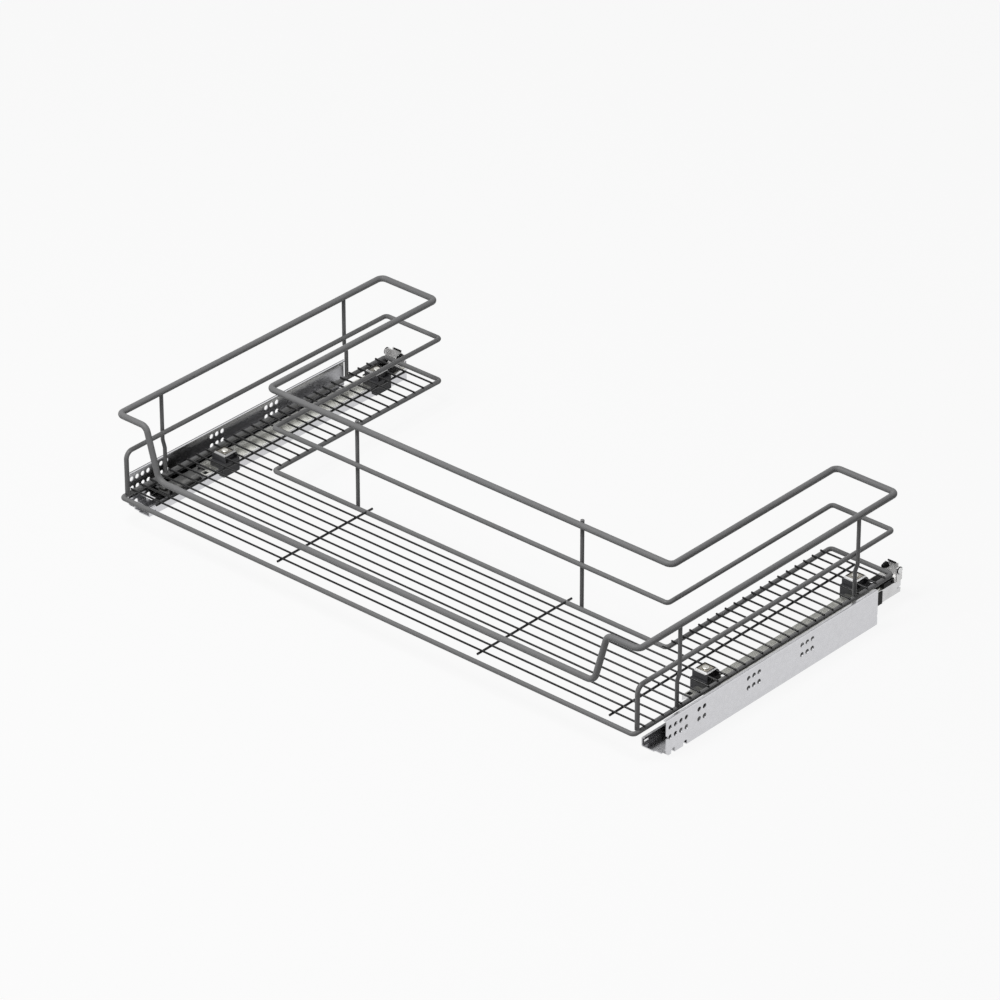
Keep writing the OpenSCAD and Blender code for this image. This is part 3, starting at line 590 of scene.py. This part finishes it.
moulding_grain = moulding_group()
block_plastic = finish_from("block_plastic", moulding_grain, {
    "Colour": (0.040, 0.040, 0.043, 1), "Roughness": 0.5}, relief=0.00003, specular=0.25)
screw_steel = finish_from("screw_steel", zinc_plating, {
    "Colour": (0.66, 0.65, 0.61, 1), "Roughness": 0.3, "Spangle Scale": 320.0},
    relief=0.000006, metallic=1.0)
finish_node(["holder_blocks"], block_plastic)

# The last value darkens the two left plates: painted shade for their duller reflections.
clamp_x, sunk_half, step_shade_half_w, left_plate_painted_shade = base_x - 0.0235, 0.0076, 0.0008, 0.62
clamp_low_y, clamp_high_y = (
    front_y + floor_first + row * floor_pitch for row in (full_rows - 0.5, row_count - 2.5))


def plate_group():
    """A pressed clamp plate: the distance max(|u|, |v|) from its middle parts the
    bright rim from the duller sunk square, with a painted shade line at the step
    between them. The two plates on the left are painted darker, as shade for their duller reflections."""
    group, given, place = new_group("pressed_plate", [
        ("Rim", (0.9, 0.9, 0.9, 1)), ("Sunk", (0.3, 0.3, 0.3, 1)),
        ("Step Shade", (0.03, 0.03, 0.03, 1)), ("Roughness", 0.3)])
    axes = axes_of(group, place)
    middle_y = (clamp_low_y + clamp_high_y) / 2
    u = maths(group, "SUBTRACT", maths(group, "ABSOLUTE", axes["X"]), clamp_x)
    from_middle = maths(group, "ABSOLUTE", maths(group, "SUBTRACT", axes["Y"], middle_y))
    v = maths(group, "SUBTRACT", from_middle, clamp_high_y - middle_y)
    off = maths(group, "MAXIMUM", maths(group, "ABSOLUTE", u), maths(group, "ABSOLUTE", v))
    flat = mixed(group, maths(group, "GREATER_THAN", off, sunk_half), given["Sunk"], given["Rim"])
    # Painted shade: a dark line at the step down into the sunk square.
    step_shade_mask = between(group, off, sunk_half - step_shade_half_w, sunk_half + step_shade_half_w)
    # Painted shade: the left plates darkened by side.
    side_shaded = shaded(group, mixed(group, step_shade_mask, flat, given["Step Shade"]), by_side(group, axes, left_plate_painted_shade))
    cloud = noise(group, place, 260.0, 3.0)
    return give(group, shaded(group, side_shaded, ranged(group, cloud, 0.3, 0.7, 0.9, 1.05)),
                maths(group, "MULTIPLY", given["Roughness"], ranged(group, cloud, 0.3, 0.7, 1.1, 0.9)),
                noise(group, place, 1800.0, 2.0))


plate_steel = finish_from("clamp_plate_steel", plate_group(), {
    "Rim": (0.74, 0.74, 0.74, 1), "Sunk": (0.33, 0.31, 0.27, 1),
    "Step Shade": (0.02, 0.018, 0.015, 1), "Roughness": 0.35}, relief=0.000006, metallic=0.9)


def rounded_square(width, length, corner, z):
    """A ring of points round a rectangle at a height, its corners on quarter circles."""
    t = np.linspace(0, math.pi / 2, 4)
    quarter = corner * np.stack([np.cos(t), np.sin(t)], 1)
    half = np.array([width / 2 - corner, length / 2 - corner])
    runs = []
    for turn, signs in enumerate(((1, 1), (-1, 1), (-1, -1), (1, -1))):
        c, s = math.cos(turn * math.pi / 2), math.sin(turn * math.pi / 2)
        runs.append(half * signs + quarter @ np.array([[c, s], [-s, c]]))
    flat = np.concatenate(runs)
    return np.column_stack([flat, np.full(len(flat), z)])


def stacked(steps, x, y):
    """A piece that rises through rounded rectangles (width, length, corner, height)
    about a place, with flat ends."""
    rings = np.array([rounded_square(*step) for step in steps])
    return skin_of(placed(rings + [x, y, 0])[:, ::-1], False)


def turned(place, steps, axis, sides=36):
    """A turned piece from a place along an axis: circles of radius r at the
    distances d of its steps (d, r), with flat ends."""
    line = np.array(place) + np.outer(steps[:, 0], axis)
    return skin_of(rings_along(placed(line), steps[:, 1], False, sides), False)


clamp_spots = [(hand * clamp_x, y - front_y) for hand in (-1, 1) for y in (clamp_low_y, clamp_high_y)]
wall_y, wall_w, wall_t, wall_corner = 0.01028, 0.0229, 0.0015, 0.0004
wall_steps = [
    (wall_w - 2 * shrink, wall_t - 2 * shrink, wall_corner - shrink / 2, z)
    for z, shrink in ((-0.0027, 0.0), (0.0046, 0.0), (0.0050, 0.0003))]
plate_foot_z = floor_z + floor_r + 0.00005
plate_steps = [(width, length, corner, plate_foot_z + rise) for width, length, corner, rise in (
    (0.0184, 0.0204, 0.0010, 0.0), (0.0190, 0.0210, 0.0012, 0.0003), (0.0190, 0.0210, 0.0012, 0.0011),
    (0.0184, 0.0204, 0.0010, 0.0015), (0.0177, 0.0189, 0.0010, 0.0016), (0.0168, 0.0170, 0.0008, 0.0030),
    (0.0154, 0.0154, 0.0006, 0.0030), (0.0144, 0.0144, 0.0004, 0.0023))]
head_seat, seat_rise = 0.01465, 0.0024
screw_steps = np.array([
    (0.0, 0.0004), (0.0016, 0.0016), (0.0146, 0.0016), (head_seat, 0.0041), (0.0149, 0.0043),
    (0.0155, 0.0042), (0.0160, 0.0037), (0.0162, 0.0026)])
new_piece("holder_block_walls", [
    stacked(wall_steps, x, y + end * wall_y) for x, y in clamp_spots for end in (-1, 1)],
    block_plastic, "drawer")
plates = new_piece("pressed_clamp_plates", [
    stacked(plate_steps, x, y) for x, y in clamp_spots], plate_steel, "drawer")
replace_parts(plates, "clamp_plates")
screws = new_piece("clamp_screws_turned", [
    turned((x, y, plate_foot_z + seat_rise - head_seat), screw_steps, [0, 0, 1], 24)
    for x, y in clamp_spots],
    screw_steel, "drawer")
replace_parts(screws, "clamp_screws")

# The rear end: a dark guide shoe and latch on each drawer rail, and a steel
# stop with a rubber bumper, an edge strip and a round cap on its ear.
latch_plastic = finish_from("latch_plastic", moulding_grain, {
    "Colour": (0.004, 0.004, 0.004, 1), "Roughness": 0.4}, relief=0.00002, specular=0.12)
finish_node(["guide_shoes", "rear_latches"], latch_plastic)
stop_steel = finish_from("stop_plate_steel", zinc_plating, {
    "Colour": (0.78, 0.775, 0.77, 1), "Roughness": 0.5, "Spangle Scale": 300.0},
    relief=0.000004, metallic=0.7)
finish_node(["rear_stop_plates"], stop_steel)
black_rubber = finish_from("black_rubber", moulding_grain, {
    "Colour": (0.003, 0.003, 0.003, 1), "Roughness": 0.45, "Grain Scale": 2400.0},
    relief=0.00002, specular=0.1)
finish_node(["end_buffers"], black_rubber)
stop_y, bumper_x, bumper_z = base_depth + 0.01275, base_x - 0.0175, 0.0023
stop_front_y, bumper_front_y = stop_y - 0.00085, base_depth + 0.0031
bumper_steps = np.array([
    (0.0, 0.0012), (0.0003, 0.0021), (0.0009, 0.0027), (0.0019, 0.0031), (0.0046, 0.0031), (0.0049, 0.0034),
    (0.0052, 0.0038), (stop_front_y - bumper_front_y, 0.0038)])
bumpers = new_piece("rubber_bumpers", [
    turned((hand * bumper_x, bumper_front_y, bumper_z), bumper_steps, [0, 1, 0]) for hand in (-1, 1)],
    black_rubber, "drawer")
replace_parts(bumpers, "rear_bumpers")
strip_x, strip_length, strip_y, strip_z, strip_r = bumper_x + 0.0016, 0.012, stop_y - 0.0013, 0.0094, 0.0011
edge_strips = new_piece("stop_edge_beads", [
    wire([(hand * x, strip_y, strip_z) for x in (strip_x, strip_x + strip_length)], [0, 0], strip_r, sides=20)
    for hand in (-1, 1)], black_rubber, "drawer")
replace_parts(edge_strips, "stop_edge_strips")
cap_steel = finish_from("cap_steel", zinc_plating, {
    "Colour": (0.92, 0.92, 0.92, 1), "Roughness": 0.45, "Spangle Scale": 400.0},
    relief=0.000004, metallic=0.6)
cap_x, cap_y, cap_z = base_x + 0.00455, stop_y - 0.0052, 0.0042
cap_steps = np.array([
    (-0.0017, 0.0015), (-0.0015, 0.0019), (0.00105, 0.0019), (0.0011, 0.0033), (0.0012, 0.0038),
    (0.0014, 0.0040), (0.0017, 0.0039), (0.0020, 0.0035), (0.0021, 0.0028)])
washer_steps = np.array([
    (0.0, 0.0044), (0.00005, 0.0046), (0.0003, 0.0049), (0.0009, 0.0049), (0.0011, 0.0046)])


def on_ears(steps):
    """One turned piece on the outer face of each stop's ear, along X."""
    return [turned((hand * cap_x, cap_y, cap_z), steps, [hand, 0, 0]) for hand in (-1, 1)]


caps = new_piece("ear_caps_turned", on_ears(cap_steps), cap_steel, "drawer")
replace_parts(caps, "stop_ear_caps")
new_piece("ear_cap_washers", on_ears(washer_steps), latch_plastic, "drawer")

# Painted shade: a thin dark plate on the deck behind each rear clamp, where
# the floor wires shade it. Each has a round hole over the hole in the drawer rail.
deck_top, shade_plate_hole_r, shade_plate_t = deck_high.z + 0.00005 - base_z, 0.0033, 0.0016
shade_plate_hole = np.array([clamp_x + 0.006, last_floor_y + 0.001])
shade_plate_low, shade_plate_high = shade_plate_hole - [0.0055, 0.0093], shade_plate_hole + [0.0138, 0.0185]
shade_plate_bands = (
    (0, 0, 0), (1, 0.0003, 0), (1, 0, 0.0003), (1, 0, 0.0013),
    (1, 0.0003, shade_plate_t), (0, 0, shade_plate_t))


def holed_plate(hand, count=48):
    """A plate with a round hole: a closed band of rings from the hole's lower edge
    out over the rectangle and back, each point on the ray at its angle t. A ring
    is (share of the way out, how far it stays inside the edge, height)."""
    t = np.linspace(0, 2 * math.pi, count, endpoint=False)
    ray = np.stack([np.cos(t), np.sin(t)], 1)
    level = np.abs(ray) < 1e-9
    edge = np.where(ray > 0, shade_plate_high - shade_plate_hole, shade_plate_low - shade_plate_hole)
    reach = np.where(level, np.inf, edge / np.where(level, 1, ray)).min(1)
    rings = []
    for share, inset, z in shade_plate_bands:
        radius = shade_plate_hole_r + share * (reach - inset - shade_plate_hole_r)
        flat = (shade_plate_hole + ray * radius[:, None]) * [hand, 1]
        rings.append(np.column_stack([flat, np.full(count, deck_top + z)]))
    rings = placed(rings)
    return skin_of(rings if hand < 0 else rings[:, ::-1], True)


# Dark plates that paint the floor wires' shade on the rear of the deck.
new_piece("rear_deck_shade_plates", [
    holed_plate(hand) for hand in (-1, 1)], latch_plastic, "drawer")

# Painted shade in the tongues' square holes: a dark pad under each drawer
# rail's tongue, whose boss fills the tongue's square hole, so that the hole looks dark.
pad_x, pad_y, pad_top = tongue_low.x + 0.0060, tongue_low.y + 0.0073 - front_y, deck_top - 0.0016
pad_steps = [(width, length, 0.0010, pad_top + rise) for width, length, rise in (
    (0.0074, 0.0100, -0.0046), (0.0080, 0.0106, -0.0043), (0.0080, 0.0106, -0.0003), (0.0074, 0.0100, 0.0),
    (0.0054, 0.0058, 0.0), (0.0054, 0.0058, 0.0005), (0.0050, 0.0054, 0.0007))]
new_piece("tongue_hole_shade_pads", [
    stacked(pad_steps, hand * pad_x, pad_y) for hand in (-1, 1)], latch_plastic, "drawer")

# The rollers: hardened steel pins, loose in the pockets of flat cages that
# are moulded in pale plastic and run at half the speed of the members.
cage_plastic = finish_from("cage_plastic", moulding_grain, {
    "Colour": (0.33, 0.34, 0.35, 1), "Roughness": 0.5}, relief=0.00002)
finish_node(["lower_cage_left", "lower_cage_right", "upper_cage_left", "upper_cage_right"], cage_plastic)
roller_steel = finish_from("roller_steel", zinc_plating, {
    "Colour": (0.58, 0.58, 0.58, 1), "Roughness": 0.18, "Spangle Scale": 500.0},
    relief=0.000002, metallic=1.0)
finish_node(
    ["lower_rollers_left", "lower_rollers_right", "upper_rollers_left", "upper_rollers_right"], roller_steel)
